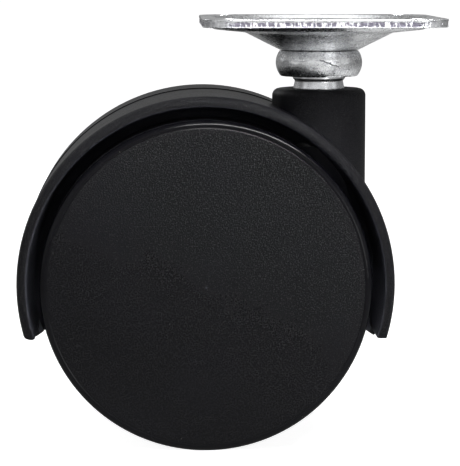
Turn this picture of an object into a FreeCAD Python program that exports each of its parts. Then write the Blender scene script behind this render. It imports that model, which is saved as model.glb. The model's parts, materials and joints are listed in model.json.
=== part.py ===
import FreeCAD, Part
import math
import os

# Twin-wheel furniture caster with a square fixing plate and a hooded nylon body.
# Millimetres. Origin: centre of the plate's upper face, on the swivel axis. +Z up.
# The wheels trail towards -X and turn about an axle parallel to Y. Front is -Y.

V = FreeCAD.Vector

# ---- fixing plate ----
plate_side = 37.0
plate_thickness = 1.3
plate_corner_radius = 5.0
plate_top_edge_radius = 0.12
plate_under_edge_radius = 0.25
hole_diameter = 4.5
hole_edge_distance = 4.5
dish_margin = 1.1
dish_step_width = 1.0
dish_step_depth = 0.6
dish_slope_drop = 0.5
dome_shoulder_radius = 11.6
dome_bend_radius = 2.5
dish_bend_radius = 0.6
nose_edge_radius = 0.4
plate_hole_edge_radius = 0.1

# ---- swivel bearing ----
ball_diameter = 2.0
ball_spacing_gap = 0.15
race_gap = 0.03
shank_diameter = 7.0
shank_clearance = 0.3
upper_row_step = 0.65
race_washer_thickness = 0.8
race_washer_overhang = 1.0
rivet_head_height = 0.65
rivet_head_overhang = 1.4
rivet_head_recess = 0.3
seam_gap = 0.15
cup_wall = 1.17
cup_floor = 2.0
cup_top_inset = 0.58
cup_bottom_inset = 0.65
cup_bottom_chamfer = 0.15
cup_belly_rise = 0.1

# ---- stem ----
stem_diameter = 8.0
stem_shoulder_step = 0.1
neck_height = 1.93
neck_waist = 0.25
neck_waist_drop = 0.75
neck_foot_height = 0.1
neck_bend_radius = 0.4
stem_shoulder_height = 0.35
stem_end_radius = 0.5
stem_length_in_barrel = 22.4
stem_ring_width = 1.0
stem_ring_groove_depth = 0.7
stem_ring_end_distance = 1.0
stem_ring_gap_angle = 50.0
sleeve_wall = 0.7
sleeve_depth_below_top = 1.3
press_gap = 0.01

# ---- wheels ----
wheel_diameter = 50.0
overall_width = 35.5
cover_thickness = 1.5
cover_flange_depth = 2.15
cover_edge_radius = 0.8
cover_groove_inset = 0.9
cover_groove_width = 0.3
cover_groove_depth = 0.06
parting_groove_width = 0.3
parting_groove_depth = 0.6
tread_thickness = 2.6
tread_edge_radius = 1.4
rim_draft = 0.4
edge_break = 0.3
fine_edge_break = 0.15
wheel_inner_fillet = 0.6
spigot_wall = 1.4
spigot_depth = 2.7
spigot_gap = 0.05
wheel_web_thickness = 1.6
wheel_rib_count = 8
wheel_rib_thickness = 1.2
wheel_rib_setback = 0.3
hub_wall = 2.3
bush_wall = 0.95
running_gap = 0.05
side_play = 0.2
barrel_to_wheel_gap = 0.6

# ---- axle ----
axle_diameter = 6.0
axle_tail = 1.1
axle_end_gap = 1.2
axle_chamfer = 0.4
clip_thickness = 0.5
clip_groove_depth = 0.4
clip_overhang = 2.2
clip_mouth_share = 0.8
thrust_washer_thickness = 0.5
thrust_washer_overhang = 2.5

# ---- hooded body ----
swivel_offset = 18.0
hood_gap = 2.0
hood_wall = 1.7
hood_inset = 0.95
hood_draft = 0.8
hood_edge_radius = 1.2
hood_lip_radius = 0.3
hood_step_height = 0.15
hood_step_from_middle = 5.0
web_thickness = 4.4
web_fillet = 4.0
web_drop = 8.35
web_edge_fall = 1.15
web_slope_inset = 0.1
web_corner_radius = 0.3
web_into_fender = 1.3
tip_drop = 8.1
tip_bevel_height = 1.75
tip_bevel_depth = 0.7
rear_tip_radius = 1.6
front_tip_radius = 0.5
tip_inner_radius = 0.5
tip_round_height = 1.7
barrel_wall = 2.6
barrel_boss_wall = 1.25
barrel_above_hood = 0.2
barrel_edge_radius = 1.1
barrel_floor = 1.5
axle_boss_wall = 3.5
ejector_mark_radius = 0.45
ejector_mark_line = 0.12
ejector_mark_depth = 0.08
ejector_mark_rise = 2.2

# ---- radii and heights that follow ----
ball_radius = ball_diameter / 2
shank_radius = shank_diameter / 2
stem_radius = stem_diameter / 2
axle_radius = axle_diameter / 2
wheel_radius = wheel_diameter / 2

lower_ball_circle = shank_radius + running_gap + ball_radius
upper_ball_circle = lower_ball_circle + upper_row_step
cup_cavity_radius = lower_ball_circle + ball_radius + race_gap
cup_radius = cup_cavity_radius + cup_wall
nose_radius = cup_radius - cup_top_inset

rivet_top = -rivet_head_recess
race_washer_top = rivet_top - rivet_head_height
race_washer_bottom = race_washer_top - race_washer_thickness
upper_ball_z = race_washer_bottom - race_gap - ball_radius
dome_floor_top = upper_ball_z - ball_radius - race_gap
dome_bottom = dome_floor_top - plate_thickness
cup_top = dome_bottom - seam_gap
lower_ball_z = dome_bottom - race_gap - ball_radius
cup_cavity_floor = lower_ball_z - ball_radius - race_gap
cup_bottom = cup_cavity_floor - cup_floor
barrel_top = cup_bottom - neck_height

sleeve_outer_radius = stem_radius + press_gap + sleeve_wall
barrel_radius = sleeve_outer_radius + barrel_wall
barrel_boss_radius = sleeve_outer_radius + barrel_boss_wall
sleeve_top = barrel_top - sleeve_depth_below_top
stem_bottom = barrel_top - stem_length_in_barrel
stem_ring_bottom = stem_bottom + stem_ring_end_distance
stem_ring_top = stem_ring_bottom + stem_ring_width
barrel_boss_bottom = stem_bottom - press_gap - barrel_floor

hood_inner_radius = wheel_radius + hood_gap
hood_outer_radius = hood_inner_radius + hood_wall
hood_half = overall_width / 2 - hood_inset
hood_front_radius = hood_outer_radius - hood_step_height
cavity_end_radius = hood_inner_radius - hood_draft
web_half = web_thickness / 2

axle_drop = -barrel_top + barrel_above_hood + hood_outer_radius
axle_centre = V(-swivel_offset, 0, -axle_drop)

# Distances out from the middle plane between the wheels.
wheel_outer_face = overall_width / 2
cover_inner_face = wheel_outer_face - cover_thickness
cover_flange_back = wheel_outer_face - cover_flange_depth
tread_outer_end = cover_flange_back - parting_groove_width
tread_inner_end = barrel_boss_radius + barrel_to_wheel_gap
thrust_washer_out = barrel_boss_radius + press_gap + thrust_washer_thickness
hub_inner_end = thrust_washer_out + side_play
axle_end = cover_inner_face - axle_end_gap
clip_outer = axle_end - axle_tail
clip_inner = clip_outer - clip_thickness
hub_outer_end = clip_inner - side_play
wheel_web_middle = (hub_inner_end + hub_outer_end) / 2
rim_bore_radius = wheel_radius - tread_thickness
bush_inner_radius = axle_radius + running_gap
bush_outer_radius = bush_inner_radius + bush_wall
hub_radius = bush_outer_radius + hub_wall


def outline(corners):
    """Closed wire in the XZ plane. A corner is (x, z), or (x, z, radius) where it is rounded."""
    pieces = []
    for number, corner in enumerate(corners):
        following = corners[(number + 1) % len(corners)]
        here = V(corner[0], 0, corner[1])
        back = (V(corners[number - 1][0], 0, corners[number - 1][1]) - here).normalize()
        ahead = (V(following[0], 0, following[1]) - here).normalize()
        radius = corner[2] if len(corner) > 2 else 0
        if not radius:
            pieces.append((here, here, here))
            continue
        half_angle = back.getAngle(ahead) / 2
        run = radius / math.tan(half_angle)
        depth = radius / math.sin(half_angle) - radius
        pieces.append((here + back * run, here + (back + ahead).normalize() * depth, here + ahead * run))
    edges = []
    for number, (start, middle, end) in enumerate(pieces):
        if start != end:
            edges.append(Part.Arc(start, middle, end).toShape())
        next_start = pieces[(number + 1) % len(pieces)][0]
        if end.distanceToPoint(next_start) > 1e-6:
            edges.append(Part.LineSegment(end, next_start).toShape())
    return Part.Wire(edges)


def turned(corners):
    """Solid turned about Z from an outline whose x is the radius."""
    return Part.Face(outline(corners)).revolve(V(0, 0, 0), V(0, 0, 1), 360)


def parallel(points, distance):
    """Open line of points moved sideways to its left by distance, with mitred corners."""
    moved = []
    for number, point in enumerate(points):
        before = points[max(number - 1, 0)]
        after = points[min(number + 1, len(points) - 1)]
        angle_in = math.atan2(point[1] - before[1], point[0] - before[0])
        angle_out = math.atan2(after[1] - point[1], after[0] - point[0])
        if number == 0:
            angle_in = angle_out
        if number == len(points) - 1:
            angle_out = angle_in
        middle = (angle_in + angle_out) / 2
        length = distance / math.cos((angle_out - angle_in) / 2)
        moved.append((point[0] - length * math.sin(middle), point[1] + length * math.cos(middle)))
    return moved


def with_radii(points, radii):
    """Corners for outline() from points and one radius for each."""
    return [(x, z, radius) for (x, z), radius in zip(points, radii)]


def rod(radius, bottom, top, x=0.0, y=0.0):
    """Upright cylinder between two heights."""
    return Part.makeCylinder(radius, top - bottom, V(x, y, bottom))


def on_axle(shape, side=1):
    """Shape turned about Z, laid along the axle: its +Z points to -Y for side 1, to +Y for side -1."""
    laid = shape.copy()
    laid.rotate(V(0, 0, 0), V(1, 0, 0), 90 * side)
    laid.translate(axle_centre)
    return laid


def ball_row(circle_radius, height):
    """Full row of loose balls round the swivel axis."""
    pitch = ball_diameter + ball_spacing_gap
    count = int(2 * math.pi * circle_radius / pitch)
    balls = []
    for number in range(count):
        angle = 2 * math.pi * number / count
        place = V(circle_radius * math.cos(angle), circle_radius * math.sin(angle), height)
        balls.append(Part.makeSphere(ball_radius, place))
    return Part.makeCompound(balls)


def top_plate():
    """Pressed square plate: flat rim with four holes, a shallow dish and a dome that carries both races."""
    half = plate_side / 2
    dish_radius = half - dish_margin
    plane = Part.Face(outline([
        (half, half, plate_corner_radius),
        (-half, half, plate_corner_radius),
        (-half, -half, plate_corner_radius),
        (half, -half, plate_corner_radius),
    ]))
    square = plane.extrude(V(0, plate_thickness, 0))
    square.rotate(V(0, 0, 0), V(1, 0, 0), -90)
    level = plate_thickness / 4
    top_edges = [edge for edge in square.Edges if edge.BoundBox.ZMin > -level]
    square = square.makeFillet(plate_top_edge_radius, top_edges)
    under_edges = [edge for edge in square.Edges if edge.BoundBox.ZMax < level - plate_thickness]
    square = square.makeFillet(plate_under_edge_radius, under_edges)
    square = square.cut(rod(dish_radius + dish_margin / 2, -plate_thickness, 0))

    under = -plate_thickness
    step_radius = dish_radius - dish_step_width
    below = [
        (shank_radius + shank_clearance, dome_bottom),
        (nose_radius, dome_bottom),
        (dome_shoulder_radius, under - dish_step_depth - dish_slope_drop),
        (step_radius, under - dish_step_depth),
        (dish_radius, under),
        (dish_radius + dish_margin / 2, under),
    ]
    above = parallel(below, plate_thickness)
    inner_bend = dome_bend_radius - plate_thickness
    dish_bends = (dish_bend_radius, dish_bend_radius, 0)
    inside_bends = (plate_hole_edge_radius, nose_edge_radius)
    lower_corners = with_radii(below, inside_bends + (inner_bend,) + dish_bends)
    upper_corners = with_radii(above, inside_bends + (dome_bend_radius,) + dish_bends)
    dish = turned(lower_corners + upper_corners[::-1])

    hole_reach = half - hole_edge_distance
    plate = square.fuse(dish)
    for x in (-hole_reach, hole_reach):
        for y in (-hole_reach, hole_reach):
            plate = plate.cut(rod(hole_diameter / 2, dome_bottom, 1, x, y))
    return plate.removeSplitter()


def race_washer():
    """Hard washer over the upper balls, held down by the riveted head."""
    return turned([
        (shank_radius + press_gap, race_washer_bottom),
        (upper_ball_circle + race_washer_overhang, race_washer_bottom, fine_edge_break),
        (upper_ball_circle + race_washer_overhang, race_washer_top, edge_break),
        (shank_radius + press_gap, race_washer_top),
    ])


def ball_cup():
    """Turned collar on the stem's shoulder: barrel-shaped outside, open at the top for the lower balls."""
    belly_z = (cup_top + cup_bottom) / 2 + cup_belly_rise
    bore = shank_radius + press_gap
    foot_radius = cup_radius - cup_bottom_inset
    side = Part.Arc(
        V(foot_radius, 0, cup_bottom + cup_bottom_chamfer),
        V(cup_radius, 0, belly_z),
        V(nose_radius, 0, cup_top),
    ).toShape()
    points = [
        V(nose_radius, 0, cup_top),
        V(cup_cavity_radius, 0, cup_top),
        V(cup_cavity_radius, 0, cup_cavity_floor),
        V(bore, 0, cup_cavity_floor),
        V(bore, 0, cup_bottom),
        V(foot_radius - cup_bottom_chamfer, 0, cup_bottom),
        V(foot_radius, 0, cup_bottom + cup_bottom_chamfer),
    ]
    face = Part.Face(Part.Wire([side] + Part.makePolygon(points).Edges))
    return face.revolve(V(0, 0, 0), V(0, 0, 1), 360)


def stem():
    """Stem in one turned piece: riveted head, shank through the bearing, waisted neck and pressed length."""
    shoulder = stem_radius + stem_shoulder_step
    head_radius = shank_radius + rivet_head_overhang
    groove_radius = stem_radius - stem_ring_groove_depth
    waist_z = cup_bottom - neck_waist_drop
    return turned([
        (0, stem_bottom),
        (stem_radius, stem_bottom, stem_end_radius),
        (stem_radius, stem_ring_bottom - running_gap),
        (groove_radius, stem_ring_bottom - running_gap),
        (groove_radius, stem_ring_top + running_gap),
        (stem_radius, stem_ring_top + running_gap),
        (stem_radius, barrel_top + neck_foot_height),
        (stem_radius - neck_waist, waist_z, neck_bend_radius),
        (shoulder, cup_bottom - stem_shoulder_height),
        (shoulder, cup_bottom),
        (shank_radius, cup_bottom),
        (shank_radius, race_washer_top),
        (head_radius, race_washer_top),
        (head_radius, rivet_top, stem_end_radius),
        (0, rivet_top),
    ])


def stem_sleeve():
    """Steel sleeve moulded into the barrel. The stem is pressed into it."""
    tube = rod(sleeve_outer_radius, stem_ring_top + running_gap, sleeve_top)
    return tube.cut(rod(stem_radius + press_gap, stem_ring_top, sleeve_top))


def stem_ring():
    """Split spring ring in the stem's groove, sprung out under the sleeve's end."""
    groove_radius = stem_radius - stem_ring_groove_depth
    ring = rod(sleeve_outer_radius, stem_ring_bottom, stem_ring_top)
    ring = ring.cut(rod(groove_radius + running_gap, stem_ring_bottom, stem_ring_top))
    half_gap = sleeve_outer_radius * math.tan(math.radians(stem_ring_gap_angle / 2))
    slot = Part.makeBox(sleeve_outer_radius, 2 * half_gap, stem_ring_width, V(0, -half_gap, stem_ring_bottom))
    wedge = Part.Face(Part.makePolygon([
        V(0, 0, stem_ring_bottom),
        V(sleeve_outer_radius, -half_gap, stem_ring_bottom),
        V(sleeve_outer_radius, half_gap, stem_ring_bottom),
        V(0, 0, stem_ring_bottom),
    ])).extrude(V(0, 0, stem_ring_width))
    return ring.cut(slot.common(wedge))


def hood_ring():
    """Fender and centre web as one turned shape, before its lower part is cut away."""
    return turned([
        (0, web_half),
        (cavity_end_radius, web_half, web_fillet),
        (hood_inner_radius, hood_half, hood_lip_radius),
        (hood_front_radius, hood_half, hood_edge_radius),
        (hood_front_radius, -hood_step_from_middle),
        (hood_outer_radius, -hood_step_from_middle),
        (hood_outer_radius, -hood_half, hood_edge_radius),
        (hood_inner_radius, -hood_half, hood_lip_radius),
        (cavity_end_radius, -web_half, web_fillet),
        (0, -web_half),
    ])


def wheel_pocket(side):
    """Space inside the fender on one side of the web."""
    beyond = overall_width
    return on_axle(turned([
        (0, web_half),
        (cavity_end_radius, web_half, web_fillet),
        (hood_inner_radius, hood_half),
        (hood_inner_radius, beyond),
        (0, beyond),
    ]), side)


def hood_keep():
    """What stays of the turned hood: all above the rounded tips, and the web down to its lower edge."""
    reach = hood_outer_radius + 1
    inner_x = math.sqrt(hood_inner_radius ** 2 - tip_drop ** 2)
    outer_x = math.sqrt(hood_outer_radius ** 2 - tip_drop ** 2)
    tangent_z = (reach - outer_x) * outer_x / tip_drop - tip_drop
    round_z = tip_round_height - tip_drop
    keep = Part.Face(outline([
        (-reach, reach),
        (reach, reach),
        (reach, tangent_z),
        (outer_x, -tip_drop, front_tip_radius),
        (inner_x, -tip_drop, tip_inner_radius),
        (inner_x, round_z),
        (-inner_x, round_z),
        (-inner_x, -tip_drop, tip_inner_radius),
        (-outer_x, -tip_drop, rear_tip_radius),
        (-reach, tangent_z),
    ])).extrude(V(0, 2 * reach, 0))
    keep.translate(V(0, -reach, 0))
    web_lowest = web_drop + web_edge_fall
    web_x = math.sqrt(hood_inner_radius ** 2 - web_lowest ** 2) + web_into_fender
    slope_x = wheel_radius - web_slope_inset
    web_reach = web_half + web_fillet
    web = Part.Face(outline([
        (-web_x, reach),
        (web_x, reach),
        (web_x, -web_lowest, web_corner_radius),
        (slope_x, -web_drop, web_corner_radius),
        (-slope_x, -web_drop, web_corner_radius),
        (-web_x, -web_lowest, web_corner_radius),
    ])).extrude(V(0, 2 * web_reach, 0))
    web.translate(V(0, -web_reach, 0))
    return keep.fuse(web).translated(axle_centre)


def tip_bevels():
    """Wedges that bevel the fender's faces where they end in the tips."""
    reach = hood_outer_radius + 1
    start = -tip_drop + tip_bevel_height
    end = -tip_drop - 1
    depth = tip_bevel_depth * (start - end) / tip_bevel_height
    wedges = []
    for side in (1, -1):
        face = side * hood_half
        wedge = Part.Face(Part.makePolygon([
            V(-reach, face, start),
            V(-reach, face - side * depth, end),
            V(-reach, face + side, end),
            V(-reach, face + side, start),
            V(-reach, face, start),
        ])).extrude(V(2 * reach, 0, 0))
        wedges.append(wedge.translated(axle_centre))
    return wedges


def ejector_mark():
    """Fine ring left by an ejector pin on the front face of the right tip."""
    mark_z = -tip_drop + ejector_mark_rise
    mark_radius = (hood_inner_radius + hood_outer_radius) / 2
    mark_x = math.sqrt(mark_radius ** 2 - mark_z ** 2)
    start = axle_centre + V(mark_x, -hood_half, mark_z)
    outer = Part.makeCylinder(ejector_mark_radius, ejector_mark_depth, start, V(0, 1, 0))
    inner_radius = ejector_mark_radius - ejector_mark_line
    return outer.cut(Part.makeCylinder(inner_radius, ejector_mark_depth, start, V(0, 1, 0)))


def hood():
    """Moulded body: fender over both wheels, centre web, axle boss and the barrel that holds the stem."""
    body = on_axle(hood_ring()).common(hood_keep())
    body = body.cut(tip_bevels()).cut(ejector_mark())

    barrel_reach = swivel_offset + barrel_radius
    barrel_low = math.sqrt(max(cavity_end_radius ** 2 - barrel_reach ** 2, 0)) + hood_wall
    barrel = turned([
        (0, barrel_low - axle_drop),
        (barrel_radius, barrel_low - axle_drop),
        (barrel_radius, barrel_top, barrel_edge_radius),
        (0, barrel_top),
    ])
    for side in (1, -1):
        barrel = barrel.cut(wheel_pocket(side))
    boss_top = math.sqrt(hood_inner_radius ** 2 - swivel_offset ** 2) - axle_drop
    boss = rod(barrel_boss_radius, barrel_boss_bottom, boss_top)
    axle_boss = on_axle(rod(axle_radius + axle_boss_wall, -barrel_boss_radius, barrel_boss_radius))
    body = body.fuse([barrel, boss, axle_boss])

    clear_stem = stem_radius + running_gap
    ring_seat = sleeve_outer_radius + running_gap
    ring_low = stem_ring_bottom - running_gap
    ring_high = stem_ring_top + running_gap
    body = body.cut(rod(clear_stem, sleeve_top, barrel_top + barrel_above_hood))
    body = body.cut(rod(sleeve_outer_radius + press_gap, ring_high, sleeve_top))
    body = body.cut(rod(ring_seat, ring_low, ring_high))
    body = body.cut(rod(clear_stem, stem_bottom - press_gap, ring_low))
    body = body.cut(on_axle(rod(axle_radius + press_gap, -hood_half, hood_half)))
    return body.removeSplitter()


def axle():
    """Steel axle pressed through the boss, with a clip groove and a chamfer at each end."""
    groove_radius = axle_radius - clip_groove_depth
    groove_low = clip_inner - running_gap
    groove_high = clip_outer + running_gap
    half = [
        (axle_radius, groove_low),
        (groove_radius, groove_low),
        (groove_radius, groove_high),
        (axle_radius, groove_high),
        (axle_radius, axle_end - axle_chamfer),
        (axle_radius - axle_chamfer, axle_end),
        (0, axle_end),
    ]
    other = [(radius, -height) for radius, height in reversed(half)]
    return on_axle(turned(other + half))


def thrust_washer(side):
    """Washer between the axle boss and the hub."""
    inner = axle_radius + running_gap
    outer = axle_radius + thrust_washer_overhang
    start = barrel_boss_radius + press_gap
    return on_axle(rod(outer, start, thrust_washer_out).cut(rod(inner, start, thrust_washer_out)), side)


def hub_bush(side):
    """Plain bearing pressed into the wheel's hub, running on the axle."""
    tube = rod(bush_outer_radius, hub_inner_end, hub_outer_end)
    return on_axle(tube.cut(rod(bush_inner_radius, hub_inner_end, hub_outer_end)), side)


def axle_clip(side):
    """Spring clip in the axle's groove that keeps the wheel on."""
    inner = axle_radius - clip_groove_depth + running_gap
    outer = axle_radius + clip_overhang
    ring = rod(outer, clip_inner, clip_outer).cut(rod(inner, clip_inner, clip_outer))
    mouth = 2 * inner * clip_mouth_share
    slot = Part.makeBox(outer, mouth, clip_thickness, V(0, -mouth / 2, clip_inner))
    return on_axle(ring.cut(slot), side)


def wheel_body(side):
    """Moulded wheel: tread rim, web, ribs on the inner side and a hub bored for the bush."""
    web_low = wheel_web_middle - wheel_web_thickness / 2
    web_high = wheel_web_middle + wheel_web_thickness / 2
    rim_inside = rim_bore_radius + rim_draft
    wheel = turned([
        (bush_outer_radius + press_gap, hub_inner_end),
        (hub_radius, hub_inner_end, edge_break),
        (hub_radius, web_low, wheel_inner_fillet),
        (rim_bore_radius, web_low, wheel_inner_fillet),
        (rim_inside, tread_inner_end, edge_break),
        (wheel_radius, tread_inner_end, tread_edge_radius),
        (wheel_radius, tread_outer_end, fine_edge_break),
        (rim_bore_radius, tread_outer_end, fine_edge_break),
        (rim_bore_radius, web_high, wheel_inner_fillet),
        (hub_radius, web_high, wheel_inner_fillet),
        (hub_radius, hub_outer_end, edge_break),
        (bush_outer_radius + press_gap, hub_outer_end),
    ])
    rib_low = hub_inner_end + wheel_rib_setback
    rib_start = hub_radius - edge_break
    rib_length = rim_bore_radius + rim_draft / 2 - rib_start
    for number in range(wheel_rib_count):
        corner = V(rib_start, -wheel_rib_thickness / 2, rib_low)
        rib = Part.makeBox(rib_length, wheel_rib_thickness, web_low + edge_break - rib_low, corner)
        rib.rotate(V(0, 0, 0), V(0, 0, 1), 360 * number / wheel_rib_count)
        wheel = wheel.fuse(rib)
    return on_axle(wheel.removeSplitter(), side)


def wheel_cover(side):
    """Pressed-on outer disc with a rounded edge band and a spigot that grips the rim's bore."""
    band = wheel_radius - cover_groove_inset
    spigot_radius = rim_bore_radius - spigot_gap
    return on_axle(turned([
        (0, cover_inner_face),
        (spigot_radius - spigot_wall, cover_inner_face, edge_break),
        (spigot_radius - spigot_wall, tread_outer_end - spigot_depth),
        (spigot_radius, tread_outer_end - spigot_depth, edge_break),
        (spigot_radius, tread_outer_end + press_gap),
        (wheel_radius - parting_groove_depth, tread_outer_end + press_gap),
        (wheel_radius - parting_groove_depth, cover_flange_back),
        (wheel_radius, cover_flange_back, fine_edge_break),
        (wheel_radius, wheel_outer_face, cover_edge_radius),
        (band, wheel_outer_face),
        (band - cover_groove_width / 2, wheel_outer_face - cover_groove_depth),
        (band - cover_groove_width, wheel_outer_face),
        (0, wheel_outer_face),
    ]), side)


def save(name, shape):
    """One STEP file for each named piece."""
    shape.exportStep(os.path.join("parts", name + ".step"))


os.makedirs("parts", exist_ok=True)
save("top_plate", top_plate())
save("upper_balls", ball_row(upper_ball_circle, upper_ball_z))
save("lower_balls", ball_row(lower_ball_circle, lower_ball_z))
save("race_washer", race_washer())
save("ball_cup", ball_cup())
save("stem", stem())
save("stem_sleeve", stem_sleeve())
save("stem_ring", stem_ring())
save("hood", hood())
save("axle", axle())
for side_name, side_sign in (("front", 1), ("rear", -1)):
    save(side_name + "_thrust_washer", thrust_washer(side_sign))
    save(side_name + "_hub_bush", hub_bush(side_sign))
    save(side_name + "_axle_clip", axle_clip(side_sign))
    save(side_name + "_wheel_body", wheel_body(side_sign))
    save(side_name + "_wheel_cover", wheel_cover(side_sign))
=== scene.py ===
import json
import math

import bmesh
import bpy
import numpy as np
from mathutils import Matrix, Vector


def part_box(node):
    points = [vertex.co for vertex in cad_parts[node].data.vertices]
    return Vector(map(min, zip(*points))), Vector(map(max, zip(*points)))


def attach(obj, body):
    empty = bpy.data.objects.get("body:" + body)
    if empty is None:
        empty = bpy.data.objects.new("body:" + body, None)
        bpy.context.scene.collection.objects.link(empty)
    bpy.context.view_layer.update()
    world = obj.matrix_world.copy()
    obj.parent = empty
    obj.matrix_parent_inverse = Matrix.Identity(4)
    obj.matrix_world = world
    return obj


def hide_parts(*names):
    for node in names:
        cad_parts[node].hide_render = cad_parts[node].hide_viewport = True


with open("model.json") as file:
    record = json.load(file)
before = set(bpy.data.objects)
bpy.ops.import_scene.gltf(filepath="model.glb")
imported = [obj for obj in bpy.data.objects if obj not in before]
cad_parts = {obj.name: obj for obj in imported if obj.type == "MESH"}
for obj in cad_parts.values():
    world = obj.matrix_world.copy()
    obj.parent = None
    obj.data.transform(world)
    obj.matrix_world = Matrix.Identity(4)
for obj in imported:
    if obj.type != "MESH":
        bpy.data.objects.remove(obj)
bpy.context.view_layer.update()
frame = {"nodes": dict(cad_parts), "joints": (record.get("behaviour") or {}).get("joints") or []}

MM = 0.001

# ---- Studio ---------------------------------------------------------------------------------
# The caster stands on a white sheet in a dim white room. A wide soft lamp faces it, small ones
# stand left, right and behind, and one hangs above. Two nearer lamps in front, one high and one
# low at the right, give the disc its soft glow and bright edge line.
# ---------------------------------------------------------------------------------------------


class Value:
    """One output socket. Arithmetic on values adds the Math nodes that work it out."""

    def __init__(self, nodes, socket):
        self.nodes = nodes
        self.socket = socket

    def maths(self, operation, *terms):
        return self.nodes.add("ShaderNodeMath", {"operation": operation}, dict(enumerate(terms)))

    def __add__(self, other):
        return self.maths("ADD", self, other)

    def __sub__(self, other):
        return self.maths("SUBTRACT", self, other)

    def __rsub__(self, other):
        return self.maths("SUBTRACT", other, self)

    def __mul__(self, other):
        return self.maths("MULTIPLY", self, other)

    def __pow__(self, other):
        return self.maths("POWER", self, other)

    def __abs__(self):
        return self.maths("ABSOLUTE", self)

    __radd__ = __add__
    __rmul__ = __mul__


class Nodes:
    """The nodes of one material, or of the room."""

    def __init__(self, owner):
        owner.use_nodes = True
        self.owner = owner
        self.tree = owner.node_tree

    def feed(self, socket, value):
        """Links a value to an input socket, or sets the socket where the value is a constant."""
        if isinstance(value, Value):
            self.tree.links.new(value.socket, socket)
        else:
            socket.default_value = value

    def add(self, kind, settings, sockets, output=0):
        """Adds a node: its settings first, then the values or links of its sockets. Gives one output."""
        made = self.tree.nodes.new(kind)
        for setting, value in settings.items():
            setattr(made, setting, value)
        for socket, value in sockets.items():
            self.feed(made.inputs[socket], value)
        return Value(self, made.outputs[output])


class Paint(Nodes):
    """A procedural finish that ends in one Principled shader. Lengths in it are millimetres."""

    def __init__(self, name, **constants):
        super().__init__(bpy.data.materials.new(name))
        self.shader = self.tree.nodes["Principled BSDF"]
        self.output = self.tree.nodes["Material Output"]
        self.object_place = self.add("ShaderNodeTexCoord", {}, {}, "Object")
        for socket, value in constants.items():
            self.set(socket, value)

    def set(self, socket, value):
        self.feed(self.shader.inputs[socket.replace("_", " ")], value)

    def place(self, centre=(0, 0, 0), stretch=(1, 1, 1), turn=(0, 0, 0)):
        """Object coordinates in millimetres from a centre in metres, stretched along each axis."""
        scale = [amount / MM for amount in stretch]
        shift = [-middle * amount for middle, amount in zip(centre, scale)]
        return self.add("ShaderNodeMapping", {}, {
            "Vector": self.object_place, "Location": shift, "Rotation": turn, "Scale": scale})

    def noise(self, place, fineness, detail=2.0, rough=0.5):
        """Fractal noise from 0 to 1. Fineness is the number of blobs in a millimetre."""
        return self.add("ShaderNodeTexNoise", {}, {
            "Vector": place, "Scale": fineness, "Detail": detail, "Roughness": rough})

    def fade(self, value, low, high):
        """Smooth step: 0 where the value is low, 1 where it is high."""
        return self.add("ShaderNodeMapRange", {"interpolation_type": "SMOOTHSTEP"}, {
            "Value": value, "From Min": low, "From Max": high})

    def mix(self, share, first, second):
        """First colour where share is 0, second where it is 1."""
        colours = [part if isinstance(part, Value) else (*part, 1) for part in (first, second)]
        return self.add("ShaderNodeMix", {"data_type": "RGBA"}, {0: share, 6: colours[0], 7: colours[1]}, 2)

    def parts(self, place):
        """The three coordinates of a place."""
        split = self.add("ShaderNodeSeparateXYZ", {}, {"Vector": place}).socket.node
        return [Value(self, socket) for socket in split.outputs]

    def bump(self, height, depth, under=None):
        """Normal for a height from 0 to 1 whose full depth is in millimetres, laid over another normal."""
        sockets = {"Height": height, "Distance": depth * MM, "Strength": 1.0}
        if under is not None:
            sockets["Normal"] = under
        return self.add("ShaderNodeBump", {}, sockets)

    def specks(self, place, fineness, size, share):
        """Small round dots, one at most in each cell, in the given share of the cells."""
        distance = self.add("ShaderNodeTexVoronoi", {}, {"Vector": place, "Scale": fineness})
        chance = self.parts(Value(self, distance.socket.node.outputs["Color"]))[0]
        dot = self.fade(distance, size * fineness, 0.4 * size * fineness)
        return dot * self.fade(chance, 1 - share, 1.01 - share)

    def hairlines(self, place, fineness, width, where):
        """Thin lines along the middle level of a noise, only where a second noise is high."""
        level = abs(self.noise(place, fineness, 0.0) - 0.5)
        return self.fade(level, width, 0.2 * width) * self.fade(where, 0.58, 0.66)


def coat(node_names, paint):
    """Gives each named CAD node one finish."""
    for node_name in node_names:
        mesh = frame["nodes"][node_name].data
        mesh.materials.clear()
        mesh.materials.append(paint.owner)


def grid_quads(rows, columns, close_rows, close_columns, first=0):
    """Corner numbers of the quads of a grid. A closed direction joins its last line to its first."""
    row = np.arange(rows if close_rows else rows - 1)
    column = np.arange(columns if close_columns else columns - 1)
    i, j = np.meshgrid(row, column, indexing="ij")
    next_i, next_j = (i + 1) % rows, (j + 1) % columns
    corners = [i * columns + j, i * columns + next_j, next_i * columns + next_j, next_i * columns + j]
    return first + np.stack(corners, -1).reshape(-1, 4)


def new_piece(name, points, quads):
    """Object at the origin from points in metres and quads."""
    mesh = bpy.data.meshes.new(name)
    mesh.from_pydata(points.reshape(-1, 3).tolist(), [], quads.tolist())
    made = bpy.data.objects.new(name, mesh)
    bpy.context.scene.collection.objects.link(made)
    return made


axle = Vector(next(joint for joint in frame["joints"] if joint["name"] == "front_wheel_roll")["pos_m"])
front_cover_low, front_cover_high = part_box("front_wheel_cover")
floor_height = front_cover_low.z

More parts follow.
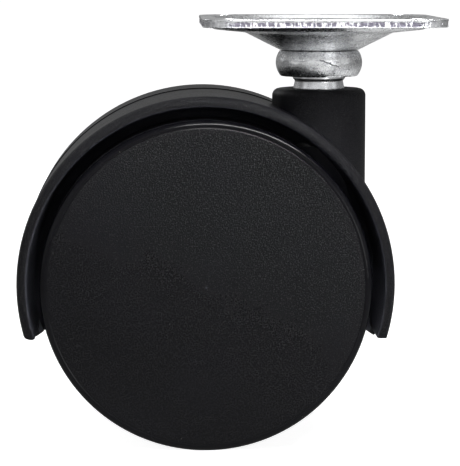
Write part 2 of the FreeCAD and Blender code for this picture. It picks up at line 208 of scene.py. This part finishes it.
camera_lens = 169.2
camera_sensor = 36.0
camera_place = Vector((-24.6, -342.4, 7.9)) * MM
camera_elevation = math.radians(6.96)
camera_azimuth = math.radians(-1.79)
camera_data = bpy.data.cameras.new("studio_camera")
camera_data.lens = camera_lens
camera_data.sensor_width = camera_sensor
camera_data.clip_start = 0.01
camera = bpy.data.objects.new("studio_camera", camera_data)
camera.location = camera_place
camera.rotation_euler = (math.pi / 2 - camera_elevation, 0, camera_azimuth)
bpy.context.scene.collection.objects.link(camera)
bpy.context.scene.camera = camera
bpy.context.scene.view_settings.view_transform = "Standard"

room_light = 0.27
room = Nodes(bpy.data.worlds.new("white_room"))
seen_directly = room.add("ShaderNodeLightPath", {}, {}, "Is Camera Ray")
room.feed(room.tree.nodes["Background"].inputs["Color"], (1, 1, 1, 1))
room.feed(room.tree.nodes["Background"].inputs["Strength"], seen_directly * (1 - room_light) + room_light)
bpy.context.scene.world = room.owner


def lamp(name, place, target, width, height, power):
    """Rectangular soft lamp at a place, facing a target. Lengths are in metres and power in watts."""
    data = bpy.data.lights.new(name, "AREA")
    data.shape = "RECTANGLE"
    data.size = width
    data.size_y = height
    data.energy = power
    made = bpy.data.objects.new(name, data)
    made.location = place
    made.rotation_euler = (Vector(target) - Vector(place)).to_track_quat("-Z", "Y").to_euler()
    made.visible_camera = False
    bpy.context.scene.collection.objects.link(made)


lamp("front_wall_lamp", (0.12, -0.95, 0.20), (0.12, 0, 0.20), 2.40, 0.70, 3.4)
lamp("left_lamp", (-0.80, -0.28, 0.16), axle, 0.30, 0.50, 0.40)
lamp("right_lamp", (0.80, -0.28, 0.16), axle, 0.30, 0.50, 0.32)
lamp("back_left_lamp", (-0.45, 0.40, 0.28), axle, 0.25, 0.25, 0.55)
lamp("top_lamp", (0.05, 0.25, 0.60), axle, 0.50, 0.40, 0.9)
lamp("front_high_lamp", (0.03, -0.10, 0.10), axle, 0.15, 0.018, 0.62)
lamp("front_right_lamp", (0.26, -0.50, -0.01), axle, 0.12, 0.20, 0.30)

floor_reach = 8.0
floor_lines = 3
sheet_greys = [(0.45, 0.45, 0.45), (0.49, 0.49, 0.49)]
sheet_brightness = 0.92
floor_line = np.linspace(-floor_reach, floor_reach, floor_lines)
floor_plan = np.meshgrid(floor_line, floor_line, indexing="xy")
floor_points = np.stack(floor_plan + [np.full((floor_lines, floor_lines), floor_height)], -1)
floor = new_piece("floor", floor_points, grid_quads(floor_lines, floor_lines, False, False))

# The sheet is one-sided: bright from above, and clear from below so that the underside can be seen.
sheet = Paint("white_sheet", Roughness=0.7)
sheet.set("Base_Color", sheet.mix(sheet.noise(sheet.place(), 0.01, 3.0), *sheet_greys))
sheet_seen = sheet.add("ShaderNodeLightPath", {}, {}, "Is Camera Ray")
sheet_glow = sheet.add("ShaderNodeEmission", {}, {
    "Color": (1, 1, 1, 1), "Strength": sheet_seen * sheet_brightness})
whole_sheet = sheet.add("ShaderNodeAddShader", {}, {0: Value(sheet, sheet.shader.outputs[0]), 1: sheet_glow})
from_below = sheet.add("ShaderNodeNewGeometry", {}, {}, "Backfacing")
clear = sheet.add("ShaderNodeBsdfTransparent", {}, {})
one_sided = sheet.add("ShaderNodeMixShader", {}, {0: from_below, 1: whole_sheet, 2: clear})
sheet.feed(sheet.output.inputs["Surface"], one_sided)
floor.data.materials.append(sheet.owner)

# ---- Fixing plate ---------------------------------------------------------------------------
# Square plate blanked and pressed from 1.3 mm steel, then bright zinc plated. Four screw holes, a
# shallow round dish, and a dome whose floor is the middle race of the bearing. Its edge shows the
# shear: a smooth band above, a torn band below.
# ---------------------------------------------------------------------------------------------
plate_low, plate_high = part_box("top_plate")
plate_half = plate_high.x / MM
plate_thickness = 1.3
plate_corner = 5.0
plate_hole_radius = 2.25
plate_hole_reach = plate_half - 4.5
hole_break_above = 0.1
hole_break_below = 0.03
dome_floor = plate_low.z / MM
plate_bore = 3.8
bore_break = 0.1

# Underside of the dome and dish, from the bore outwards: radius, height and the bend's own radius.
dish_outline = [
    (plate_bore, dome_floor),
    (6.17, dome_floor, 0.4),
    (11.6, -2.4, 1.2),
    (16.4, -1.9, 0.6),
    (17.4, -plate_thickness, 0.35),
    (17.57, -plate_thickness),
]
upper_bends = (0.4, 2.5, 0.6, 0.6)
plate_columns = 720
window_half = 18
dish_step = 1.1
band_step = 0.055
weld_reach = 0.002 * MM

# The torn band under the smooth one: where it starts and ends below the upper face, how far its
# start wanders, how soft its two borders are, and its depth from wear, single teeth and fine cells.
tear_seed = 11
tear_top, tear_wander, tear_top_border = -0.22, 0.32, 0.07
tear_bottom, tear_bottom_border = -1.16, 0.06
tear_least, tooth_depth, cell_depth = 0.015, 0.16, 0.18


def rounded(corners, steps=7):
    """Line through corners (x, z, radius). Each corner becomes an arc that touches both of its sides:
    the start and end spokes of the arc, turned into each other evenly by angle."""
    line = [np.array(corners[0][:2], float)]
    for before, corner, after in zip(corners, corners[1:], corners[2:]):
        here = np.array(corner[:2], float)
        back = np.array(before[:2]) - here
        ahead = np.array(after[:2]) - here
        back = back / np.linalg.norm(back)
        ahead = ahead / np.linalg.norm(ahead)
        half = math.acos(np.clip(back @ ahead, -1, 1)) / 2
        radius = corner[2]
        middle = here + (back + ahead) / np.linalg.norm(back + ahead) * radius / math.sin(half)
        first = here + back * radius / math.tan(half) - middle
        last = here + ahead * radius / math.tan(half) - middle
        turn = math.pi - 2 * half
        share = np.linspace(0, 1, steps)[:, None]
        arc = (np.sin((1 - share) * turn) * first + np.sin(share * turn) * last) / math.sin(turn)
        line.extend(middle + arc)
    line.append(np.array(corners[-1][:2], float))
    return np.array(line)


def filled(line, longest):
    """The same line with extra points, so that no run is longer than the given length."""
    runs = np.linalg.norm(np.diff(line, axis=0), axis=1)
    along = np.concatenate([[0], np.cumsum(runs)])
    counts = np.maximum(1, np.ceil(runs / longest)).astype(int)
    extra = [np.linspace(a, b, n + 1)[:-1] for a, b, n in zip(along, along[1:], counts)]
    stations = np.append(np.concatenate(extra), along[-1])
    return np.stack([np.interp(stations, along, line[:, axis]) for axis in (0, 1)], -1)


def beside(line, distance):
    """Each point of a line moved square to it by a distance, with mitred corners."""
    step = np.diff(line, axis=0)
    angle = np.unwrap(np.arctan2(step[:, 1], step[:, 0]))
    angle_in = np.append(angle[0], angle)
    angle_out = np.append(angle, angle[-1])
    middle = (angle_in + angle_out) / 2
    length = distance / np.cos((angle_out - angle_in) / 2)
    return line + np.stack([-np.sin(middle), np.cos(middle)], -1) * length[:, None]


def turned(line, angles):
    """Surface swept by a line (radius, height) turned about the upright axis through the given angles."""
    radius, height = line[:, :1], line[:, 1:]
    return np.stack([radius * np.cos(angles), radius * np.sin(angles), height + 0 * angles], -1)


def square_path(count):
    """Points and outward normals evenly spaced along a square with rounded corners, anticlockwise from
    the middle of its right side: each quarter is half a side, a quarter circle and half a side."""
    straight = plate_half - plate_corner
    bend = plate_corner * math.pi / 2
    quarter = 2 * straight + bend
    along = np.arange(count) * 4 * quarter / count
    number, along = np.divmod(along, quarter)
    angle = np.clip((along - straight) / plate_corner, 0, math.pi / 2)
    past = np.maximum(along - straight - bend, 0)
    x = straight + plate_corner * np.cos(angle) - past
    y = np.minimum(along, straight) + plate_corner * np.sin(angle)
    turn = number * math.pi / 2
    cosine, sine = np.cos(turn), np.sin(turn)
    points = np.stack([x * cosine - y * sine, x * sine + y * cosine], -1)
    normals = np.stack([np.cos(angle + turn), np.sin(angle + turn)], -1)
    return points, normals


def blurred(values, times):
    """Values along a closed path, each averaged with its neighbours a few times."""
    for _ in range(times):
        values = (np.roll(values, 1, -1) + 2 * values + np.roll(values, -1, -1)) / 4
    return values


def flat_rim(edge, inner_radius, height, hole_radius, side_rows=5, hole_rows=4):
    """Flat ring between a circle and the plate's edge, in patches that share their border points: straight
    rows between the two curves, and round each hole rows that shrink from the patch's border to the hole.
    Gives the patches, and the hole circles for the walls to start from."""
    angles = np.arctan2(edge[:, 1], edge[:, 0])
    circle = inner_radius * np.stack([np.cos(angles), np.sin(angles)], -1)
    share = np.linspace(0, 1, side_rows)[:, None, None]
    rows = circle * (1 - share) + edge * share
    patches, holes = [], []
    quarter = plate_columns // 4
    for number in range(4):
        middle = number * quarter + quarter // 2
        between = np.arange(middle + window_half, middle + quarter - window_half + 1) % plate_columns
        patches.append(rows[:, between])
        across = np.arange(middle - window_half, middle + window_half + 1) % plate_columns
        border = np.concatenate([
            rows[0, across[::-1]], rows[1:, across[0]], rows[-1, across[1:]], rows[-2:0:-1, across[-1]]])
        centre = plate_hole_reach * np.array([math.cos(math.pi / 2 * number + math.pi / 4),
                                              math.sin(math.pi / 2 * number + math.pi / 4)]) * math.sqrt(2)
        spoke = border - centre
        circle_points = centre + hole_radius * spoke / np.linalg.norm(spoke, axis=1)[:, None]
        step = np.linspace(0, 1, hole_rows)[:, None, None]
        patch = circle_points * (1 - step) + border * step
        patches.append(np.concatenate([patch, patch[:, :1]], 1))
        holes.append((centre, circle_points))
    lift = [np.concatenate([patch, np.full(patch.shape[:2] + (1,), height)], -1) for patch in patches]
    return lift, holes


edge_path, edge_normal = square_path(plate_columns)
column_angle = np.arctan2(edge_path[:, 1], edge_path[:, 0])

# The torn band's depth is drawn column by column along the edge. It is shallower round the corners.
chance = np.random.default_rng(tear_seed)
tooth = blurred(chance.random(plate_columns), 1)
slow = blurred(chance.random(plate_columns), 60)
tear_start = tear_top - tear_wander * blurred(chance.random(plate_columns), 2)
edge_line = rounded([(0.6, 0), (0, 0, 0.12), (0, -plate_thickness, 0.22), (0.6, -plate_thickness)], 6)
edge_line = filled(edge_line, band_step)
edge_line = edge_line[(edge_line[:, 0] < 0.3)]
band_inset, band_z = edge_line[:, :1], edge_line[:, 1:]
torn = np.clip((tear_start - band_z) / tear_top_border, 0, 1)
torn = torn * np.clip((band_z - tear_bottom) / tear_bottom_border, 0, 1)
cell = blurred(chance.random((len(edge_line), plate_columns)), 1)
cell = (np.roll(cell, 1, 0) + 2 * cell + np.roll(cell, -1, 0)) / 4
straightness = np.clip(np.abs(edge_normal).max(1) * 14 - 12.6, 0.3, 1)
tear_depth = tear_least + tooth_depth * np.clip(tooth - 0.35, 0, 1) + cell_depth * cell * slow
tear_depth = torn * straightness * tear_depth
band_xy = edge_path - edge_normal * (band_inset + tear_depth)[:, :, None]
band = np.concatenate([band_xy, np.broadcast_to(band_z[:, :, None], band_xy.shape[:2] + (1,))], -1)

lower_line = rounded(dish_outline)
upper_outline = beside(np.array([corner[:2] for corner in dish_outline], float), plate_thickness)
upper_corners = [tuple(upper_outline[0])]
upper_corners += [(*point, bend) for point, bend in zip(upper_outline[1:-1], upper_bends)]
upper_line = rounded(upper_corners + [tuple(upper_outline[-1])])
bore_line = rounded([tuple(lower_line[1]), (plate_bore, dome_floor, bore_break),
                     (plate_bore, dome_floor + plate_thickness, bore_break), tuple(upper_line[1])], 4)
dish_loop = [filled(lower_line[:0:-1], dish_step), bore_line, filled(upper_line[1:], dish_step)[1:]]
dish = turned(np.concatenate(dish_loop), column_angle)

top_rim, top_holes = flat_rim(
    band[0, :, :2], upper_line[-1, 0], 0.0, plate_hole_radius + hole_break_above)
under_rim, under_holes = flat_rim(
    band[-1, :, :2], lower_line[-1, 0], -plate_thickness, plate_hole_radius + hole_break_below)

# Wall of a screw hole, from above: how far outside the hole's radius, and height.
wall_line = np.array([
    (hole_break_above, 0), (0.05, -0.015), (0.015, -0.05), (0, -hole_break_above), (0, -0.5), (0, -0.9),
    (0, hole_break_below - plate_thickness), (hole_break_below, -plate_thickness)])
hole_walls = []
for (centre, above), (_, below) in zip(top_holes, under_holes):
    share = np.linspace(0, 1, len(wall_line))[:, None, None]
    spoke = (above - centre) * (1 - share) + (below - centre) * share
    spoke = spoke / np.linalg.norm(spoke, axis=2)[:, :, None]
    ring = centre + spoke * (plate_hole_radius + wall_line[:, :1, None])
    wall = np.concatenate([ring, np.broadcast_to(wall_line[:, 1:, None], ring.shape[:2] + (1,))], -1)
    hole_walls.append(np.concatenate([wall, wall[:, :1]], 1))


def ringed(points):
    """Grid with its first column repeated after its last."""
    return np.concatenate([points, points[:, :1]], 1)


def patchwork(name, patches, weld):
    """One closed mesh from grids of points that share their borders, with its doubled points merged
    and its faces turned outwards. Each patch comes with a value for the attribute tear."""
    points, quads, tears, count = [], [], [], 0
    for patch, tear in patches:
        rows, columns = patch.shape[:2]
        quads.append(grid_quads(rows, columns, False, False, count))
        points.append(patch.reshape(-1, 3))
        tears.append(np.broadcast_to(tear, (rows, columns)).reshape(-1))
        count += rows * columns
    made = new_piece(name, np.concatenate(points) * MM, np.concatenate(quads))
    layer = made.data.attributes.new("tear", "FLOAT", "POINT")
    layer.data.foreach_set("value", np.concatenate(tears).astype(np.float32))
    work = bmesh.new()
    work.from_mesh(made.data)
    bmesh.ops.remove_doubles(work, verts=work.verts, dist=weld)
    bmesh.ops.dissolve_degenerate(work, dist=weld, edges=work.edges)
    bmesh.ops.recalc_face_normals(work, faces=work.faces)
    work.to_mesh(made.data)
    work.free()
    return made


def smoothed(made, crease=32):
    """Smooth shading, with edges sharper than the crease angle left sharp."""
    made.data.shade_smooth()
    made.data.set_sharp_from_angle(angle=math.radians(crease))
    return made


patches = [(ringed(band), ringed(torn * straightness)), (ringed(dish), 0.0)]
patches += [(patch, 0.0) for patch in top_rim + under_rim + hole_walls]
plate = smoothed(patchwork("pressed_plate", patches, weld_reach))
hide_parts("top_plate")
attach(plate, "plate")


zinc_grey, zinc_pale, zinc_crystal = (0.62, 0.63, 0.65), (0.84, 0.85, 0.86), (0.95, 0.96, 0.97)
drawn_shade, stain_shade, mark_shade = (0.34, 0.34, 0.37), (0.30, 0.30, 0.33), (0.16, 0.16, 0.18)
pit_shade, torn_shade = (0.11, 0.10, 0.14), (0.80, 0.80, 0.83)


def zinc(name, damage):
    """Bright zinc plate: cloudy blue-grey, finely crystalline, with rolling and handling marks. The
    piece's own damage takes the paint, place, colour, roughness and relief, and gives the last three."""
    paint = Paint(name, Metallic=1.0)
    here = paint.place()
    cloud = paint.noise(here, 0.22, 4.0, 0.6)
    crystal = paint.noise(here, 2.8, 4.0, 0.75)
    stain = paint.fade(paint.noise(here, 0.9, 3.0, 0.65), 0.55, 0.75)
    marks = paint.hairlines(paint.place(stretch=(0.5, 1.6, 1.0), turn=(0.3, 0.2, 0.5)), 1.6, 0.012, cloud)
    drawn = paint.noise(paint.place(stretch=(0.30, 0.30, 2.2)), 1.0, 3.0, 0.65)
    colour = paint.mix(paint.fade(cloud, 0.3, 0.7), zinc_grey, zinc_pale)
    colour = paint.mix(paint.fade(crystal, 0.40, 0.66) * 0.7, colour, zinc_crystal)
    colour = paint.mix(paint.fade(drawn, 0.50, 0.68) * 0.65, colour, drawn_shade)
    colour = paint.mix(stain * 0.5, colour, stain_shade)
    colour = paint.mix(marks * 0.6, colour, mark_shade)
    roughness = 0.14 + 0.16 * crystal + 0.10 * cloud + 0.12 * stain
    relief = paint.bump(crystal, 0.032)
    relief = paint.bump(drawn, 0.05, relief)
    relief = paint.bump(marks, -0.010, relief)
    colour, roughness, relief = damage(paint, here, colour, roughness, relief)
    paint.set("Base_Color", colour)
    paint.set("Roughness", roughness)
    paint.set("Normal", relief)
    return paint


def torn_edge(paint, here, colour, roughness, relief):
    """Upright streaks on the torn band, dark in their pits and pale and rougher between them."""
    tear = paint.add("ShaderNodeAttribute", {"attribute_name": "tear"}, {}, "Fac")
    streak = paint.noise(paint.place(stretch=(3.2, 3.2, 0.8)), 1.0, 3.0, 0.6)
    pits = paint.fade(streak, 0.40, 0.50) * tear
    colour = paint.mix(pits * 0.9, colour, pit_shade)
    colour = paint.mix((1 - pits) * tear * 0.7, colour, torn_shade)
    return colour, roughness + 0.25 * tear, paint.bump(streak * tear, 0.05, relief)


plate_zinc = zinc("zinc_on_plate", torn_edge)
plate.data.materials.append(plate_zinc.owner)
coat(["top_plate"], plate_zinc)

# ---- Bearing --------------------------------------------------------------------------------
# Two full rows of loose hardened balls, one above and one below the dome's floor, with a hard
# washer over the upper row. Assembled by hand with a smear of grease.
# ---------------------------------------------------------------------------------------------
ball_shade, grease_shade = (0.74, 0.74, 0.76), (0.52, 0.49, 0.42)


def bearing_steel(name):
    """Polished hardened steel under a thin uneven film of grease."""
    paint = Paint(name, Metallic=1.0)
    here = paint.place()
    smear = paint.fade(paint.noise(here, 0.8, 3.0, 0.6), 0.35, 0.7)
    fine = paint.noise(here, 9.0, 2.0)
    paint.set("Base_Color", paint.mix(smear, ball_shade, grease_shade))
    paint.set("Roughness", 0.07 + 0.22 * smear + 0.05 * fine)
    paint.set("Coat_Weight", smear * 0.6)
    paint.set("Normal", paint.bump(smear + 0.2 * fine, 0.008))
    return paint


coat(["upper_balls", "lower_balls", "race_washer"], bearing_steel("greased_bearing_steel"))

# ---- Collar ---------------------------------------------------------------------------------
# Turned and zinc-plated collar that carries the lower balls and sits on the stem's shoulder.
# Barrel-shaped outside. Closing it left a few slanting flats where the tool pressed it.
# ---------------------------------------------------------------------------------------------
collar_low, collar_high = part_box("ball_cup")
collar_bottom, collar_top = collar_low.z / MM, collar_high.z / MM
collar_radius = collar_high.x / MM
collar_nose = 6.17
collar_foot = collar_radius - 0.65
collar_foot_rise = 0.15
collar_foot_inset = 0.12
collar_cavity = 5.58
collar_cavity_floor = -7.17
collar_bore = 3.51
collar_columns = 420
collar_crease = 9
belly_height = 0.1
belly_count = 46

# The belly is an arc of a circle through the foot, the widest point and the nose.
foot_point = np.array([collar_foot, collar_bottom + collar_foot_rise])
nose_point = np.array([collar_nose, collar_top])
belly_point = np.array([collar_radius, (collar_bottom + collar_top) / 2 + belly_height])
chords = np.stack([belly_point - foot_point, nose_point - foot_point])
squares = np.array([belly_point @ belly_point, nose_point @ nose_point]) - foot_point @ foot_point
belly_centre = np.linalg.solve(2 * chords, squares)
first_angle, last_angle = (math.atan2(*(point - belly_centre)[::-1]) for point in (foot_point, nose_point))
belly_angle = np.linspace(first_angle, last_angle, belly_count)
belly_size = np.linalg.norm(belly_point - belly_centre)
belly = belly_centre + belly_size * np.stack([np.cos(belly_angle), np.sin(belly_angle)], -1)
collar_inside = rounded([
    tuple(belly[-1]),
    (collar_cavity, collar_top, 0.08),
    (collar_cavity, collar_cavity_floor, 0.25),
    (collar_bore, collar_cavity_floor, 0.05),
    (collar_bore, collar_bottom, 0.05),
    (collar_foot - collar_foot_inset, collar_bottom, 0.05),
    tuple(belly[0]),
])
collar_line = np.concatenate([belly, filled(collar_inside, 0.5)[1:-1]])
collar_points = turned(collar_line, np.arange(collar_columns) * 2 * math.pi / collar_columns)

# Each flat is a plane pressed in: points beyond it come back to it along its normal. Its heading
# round the collar and its tilt are in degrees, and then comes how deep it is pressed.
flats = [(-72, -34, 0.12), (-104, -8, 0.035), (-60, 14, 0.04), (-20, -22, 0.06), (28, 10, 0.05),
         (71, -24, 0.09), (122, 12, 0.05), (168, -18, 0.08), (-152, 14, 0.05)]
for heading, tilt, press in flats:
    heading, tilt = math.radians(heading), math.radians(tilt)
    normal = np.array([
        math.cos(heading) * math.cos(tilt), math.sin(heading) * math.cos(tilt), math.sin(tilt)])
    reach = (collar_points @ normal)[:belly_count]
    beyond = np.maximum(reach - (reach.max() - press), 0)
    collar_points[:belly_count] -= beyond[:, :, None] * normal

collar = new_piece("swivel_collar", collar_points * MM,
                   grid_quads(len(collar_line), collar_columns, True, True)[:, ::-1])
smoothed(collar, collar_crease)
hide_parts("ball_cup")
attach(collar, "fork")

nick_place = (1.2, -7.0)
nick_slope = math.radians(-20)
nick_half_length = 2.0
nick_half_width = 0.11
nick_wander = 0.7
nick_painted_shade = (0.10, 0.10, 0.12)


def nick(paint, here, colour, roughness, relief):
    """One wandering scratch on the collar's front, across x and z at its own slope: a shallow groove, dark
    with painted shade along it.
    """
    x, y, z = paint.parts(here)
    cosine, sine = math.cos(nick_slope), math.sin(nick_slope)
    along = (x - nick_place[0]) * cosine + (z - nick_place[1]) * sine
    across = (z - nick_place[1]) * cosine - (x - nick_place[0]) * sine
    wander = across + nick_wander * (paint.noise(here, 1.2, 3.0, 0.7) - 0.5)
    # The dark colour of this line is painted shade along the groove.
    line = paint.fade(abs(wander), nick_half_width, 0.04)
    line = line * paint.fade(abs(along), nick_half_length, 0.6 * nick_half_length) * paint.fade(y, -3.0, -5.0)
    return paint.mix(line * 0.9, colour, nick_painted_shade), roughness, paint.bump(line, -0.10, relief)


collar_zinc = zinc("zinc_on_collar", nick)
collar.data.materials.append(collar_zinc.owner)
coat(["ball_cup"], collar_zinc)

# ---- Stem -----------------------------------------------------------------------------------
# One turned steel piece: a riveted head above the bearing, a waisted neck below the collar, and
# a plain length pressed into a sleeve in the body, where a spring ring holds it.
# ---------------------------------------------------------------------------------------------
upright_lie = (0.25, 0.25, 9.0)
upright_axis = (0, 0, 0)


def turned_steel(name, centre, lie, shade, polish):
    """Steel turned on a lathe, with a little stain: fine rings round the axis through the centre.
    The lie gives the rings in a millimetre along each axis."""
    paint = Paint(name, Metallic=1.0)
    rings = paint.noise(paint.place(centre, stretch=lie), 1.0, 3.0, 0.7)
    cloud = paint.noise(paint.place(), 0.5, 3.0, 0.6)
    fine = paint.noise(paint.place(), 7.0, 3.0, 0.6)
    dark = [part * 0.55 for part in shade]
    colour = paint.mix(paint.fade(cloud, 0.35, 0.75) * 0.7, shade, dark)
    colour = paint.mix(paint.fade(rings, 0.5, 0.8) * 0.5, colour, dark)
    paint.set("Base_Color", colour)
    paint.set("Roughness", polish + 0.14 * cloud + 0.10 * fine)
    relief = paint.bump(rings, 0.006)
    paint.set("Normal", paint.bump(fine, 0.004, relief))
    return paint


for node_name, finish, shade, polish in [
        ("stem", "zinc_on_stem", (0.80, 0.81, 0.83), 0.16),
        ("stem_sleeve", "drawn_tube_steel", (0.55, 0.55, 0.56), 0.26),
        ("stem_ring", "spring_ring_steel", (0.30, 0.31, 0.34), 0.24)]:
    coat([node_name], turned_steel(finish, upright_axis, upright_lie, shade, polish))

# ---- Body -----------------------------------------------------------------------------------
# The hooded body is one nylon moulding: fender, centre web, barrel and axle boss. Its outside is
# nearly smooth from the polished cavity, and its faces have a fine spark-eroded grain.
# ---------------------------------------------------------------------------------------------
hood_face = -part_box("hood")[0].y / MM
hood_inner_radius = 27.0
recess_painted_light, scuff_shade, dust_shade = (0.040, 0.041, 0.050), (0.07, 0.07, 0.075), (0.16, 0.155, 0.15)


def nylon(name, shade, painted_glint_shade, gloss, grain_fineness, grain_depth, full_grain, least_grain,
          inner_radius=0.0):
    """Black nylon with flow marks, scuffs and dust, and with small pale glints painted into its colour where
    its grain is coarse: painted highlights. The grain has full depth where full_grain(paint, x, y, z, r) is
    1, and least_grain of it elsewhere;
    r is the distance from the axle and all are millimetres from the axle's centre. Surfaces nearer
    to the axle than inner_radius get a paler colour: painted light that lifts the dark recess."""
    paint = Paint(name, IOR=1.22)
    here = paint.place(axle)
    x, y, z = paint.parts(here)
    radius = (x * x + z * z) ** 0.5
    amount = least_grain + (1 - least_grain) * full_grain(paint, x, y, z, radius)
    coarse = paint.noise(here, grain_fineness, 3.0, 0.7)
    fine = paint.noise(here, 2.3 * grain_fineness, 2.0, 0.6)
    grain = paint.fade(coarse, 0.36, 0.70) * 0.7 + fine * 0.3
    flow = paint.noise(here, 0.09, 3.0, 0.55)
    scuff_zone = paint.noise(here, 0.17, 1.0)
    scuff_place = paint.place(axle, stretch=(0.35, 1.0, 0.8), turn=(0, 0.6, 0.2))
    scuffs = paint.hairlines(scuff_place, 0.9, 0.006, scuff_zone)
    dust = paint.specks(here, 0.55, 0.09, 0.10)
    light = [part * 2.3 for part in shade]
    # Painted highlights: pale glints mixed into the colour where the coarse grain peaks.
    painted_glint = paint.fade(coarse, 0.53, 0.68) * amount
    colour = paint.mix(painted_glint, shade, [painted_glint_shade] * 3)
    # Painted light: surfaces nearer the axle than inner_radius get a paler colour, lifting the dark recess.
    colour = paint.mix(paint.fade(radius, inner_radius + 0.3, inner_radius), colour, recess_painted_light)
    colour = paint.mix(paint.fade(flow, 0.35, 0.75) * 0.35, colour, light)
    colour = paint.mix(scuffs * 0.15, colour, scuff_shade)
    colour = paint.mix(dust * 0.6, colour, dust_shade)
    paint.set("Base_Color", colour)
    roughness = gloss * (0.6 + 0.4 * amount) + 0.16 * amount * coarse + 0.10 * (flow - 0.5)
    paint.set("Roughness", roughness + 0.15 * dust)
    relief = paint.bump(flow, 0.20)
    relief = paint.bump(grain * amount, grain_depth, relief)
    paint.set("Normal", paint.bump(scuffs, -0.004, relief))
    return paint


def hood_grain(paint, x, y, z, radius):
    """Full on the fender's two faces and on the barrel, slight on its smooth outside."""
    outer_face = paint.fade(abs(y), hood_face - 1.0, hood_face - 0.5)
    barrel = paint.fade(x, 12.0, 14.5) * paint.fade(radius, 28.0, 29.0)
    return outer_face.maths("MAXIMUM", outer_face, barrel)


coat(["hood"], nylon(
    "black_nylon_body", shade=(0.002, 0.002, 0.003), painted_glint_shade=0.022, gloss=0.42, grain_fineness=4.4,
    grain_depth=0.070, full_grain=hood_grain, least_grain=0.30, inner_radius=hood_inner_radius))

# ---- Axle and running parts -----------------------------------------------------------------
# A plain steel axle pressed through the body's boss. On each side a thrust washer, then the hub
# on its acetal bush, then a spring clip in the axle's groove. All are behind the wheel covers.
# ---------------------------------------------------------------------------------------------
sides = ("front", "rear")
across_lie = (0.25, 9.0, 0.25)
washer_lie = (1.5, 6.0, 1.5)
clip_lie = (2.0, 2.0, 2.0)
acetal_shades = [(0.78, 0.76, 0.70), (0.86, 0.85, 0.81)]
coat(["axle"], turned_steel("drawn_axle_steel", axle, across_lie, (0.62, 0.63, 0.65), 0.20))
coat([side + "_thrust_washer" for side in sides],
     turned_steel("stamped_washer_steel", axle, washer_lie, (0.58, 0.59, 0.61), 0.28))
coat([side + "_axle_clip" for side in sides],
     turned_steel("phosphated_clip_steel", axle, clip_lie, (0.20, 0.20, 0.22), 0.38))

bush_white = Paint("natural_acetal", IOR=1.48)
bush_here = bush_white.place(axle)
bush_cloud = bush_white.noise(bush_here, 0.8, 3.0)
bush_lines = bush_white.noise(bush_white.place(axle, stretch=(0.3, 6.0, 0.3)), 1.0, 2.0)
bush_white.set("Base_Color", bush_white.mix(bush_cloud, *acetal_shades))
bush_white.set("Roughness", 0.28 + 0.15 * bush_cloud + 0.1 * bush_lines)
bush_white.set("Normal", bush_white.bump(bush_lines, 0.006))
coat([side + "_hub_bush" for side in sides], bush_white)

# ---- Wheels ---------------------------------------------------------------------------------
# Each wheel is a hard nylon moulding: tread rim, web, eight ribs and a hub. The tread comes
# smooth from the mould, and running dulls it and leaves fine rings and dust.
# ---------------------------------------------------------------------------------------------
wheel_radius = (front_cover_high.z - front_cover_low.z) / MM / 2


def tread_wear(paint, x, y, z, radius):
    """Full on the tread, none on the inner walls."""
    return paint.fade(radius, wheel_radius - 1.2, wheel_radius - 0.2)


# This wheel's shade is paler than the body's: painted light that lifts the dark gap where the wheel shows.
coat([side + "_wheel_body" for side in sides], nylon(
    "black_nylon_wheel", shade=(0.014, 0.014, 0.017), painted_glint_shade=0.030, gloss=0.38, grain_fineness=2.2,
    grain_depth=0.012, full_grain=tread_wear, least_grain=0.3))

# ---- Wheel covers ---------------------------------------------------------------------------
# A nylon disc pressed on each wheel. Its face has a spark-eroded grain up to a fine groove, and
# the rounded band outside the groove is smooth.
# ---------------------------------------------------------------------------------------------
cover_face = -front_cover_low.y / MM
band_radius = wheel_radius - 1.15


def cover_grain_and_painted_light(paint, x, y, z, radius):
    """Strong on the flat outer face inside the groove, and fainter towards the bottom and the left, where it
    dims the painted glints as painted light falling off from the upper right. None on the smooth band and
    inside."""
    inside_groove = paint.fade(radius, band_radius + 0.1, band_radius - 0.1)
    flat_face = paint.fade(abs(y), cover_face - 0.5, cover_face - 0.2)
    # The fade along 0.5 x + z is painted light: it weakens the painted glints towards the bottom left.
    return inside_groove * flat_face * (0.20 + 0.80 * paint.fade(0.5 * x + z, -20.0, 26.0))


coat([side + "_wheel_cover" for side in sides], nylon(
    "black_nylon_cover", shade=(0.0015, 0.0015, 0.0022), painted_glint_shade=0.045, gloss=0.30, grain_fineness=4.4,
    grain_depth=0.080, full_grain=cover_grain_and_painted_light, least_grain=0.03))
